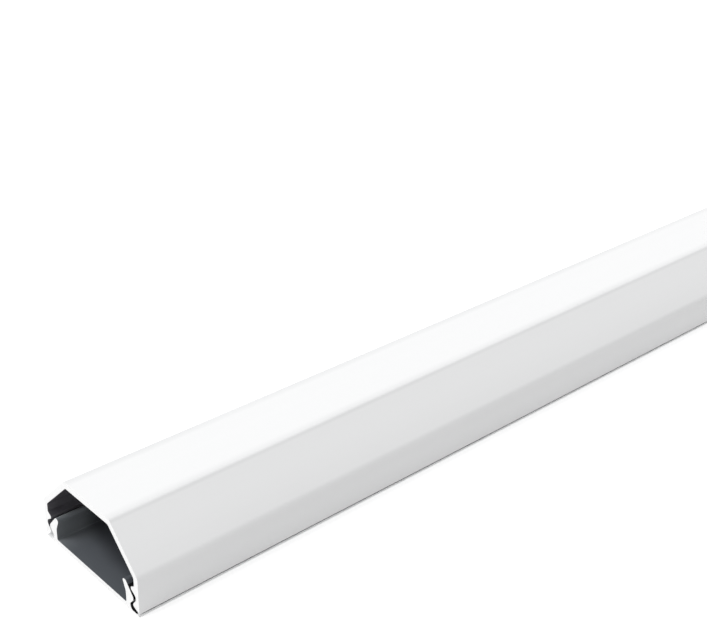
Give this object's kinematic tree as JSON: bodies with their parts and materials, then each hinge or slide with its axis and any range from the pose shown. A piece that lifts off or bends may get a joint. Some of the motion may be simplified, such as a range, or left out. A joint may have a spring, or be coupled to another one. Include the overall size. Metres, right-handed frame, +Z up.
{
  "type": "cord cover raceway",
  "caption": "Five-sided cord cover raceway: a flat channel base with snap legs and cross slots, and a cover that snaps over it.",
  "frame": {"origin": "middle of the base's underside", "axes": "+X along the raceway, away from the picture's near end; +Y across it; +Z up, from the underside to the cover's top"},
  "size_m": [0.4, 0.03, 0.016],
  "materials": {
    "base_pvc": "satin white rigid PVC, extruded",
    "cover_pvc": "satin white rigid PVC, extruded"
  },
  "bodies": {
    "base": {"base": "base_pvc"},
    "cover": {"cover": "cover_pvc"}
  },
  "joints": [
    {"name": "cover_slide", "type": "slide", "parent": "base", "child": "cover", "axis": [1, 0, 0], "range_m": [0, 0.4]}
  ]
}
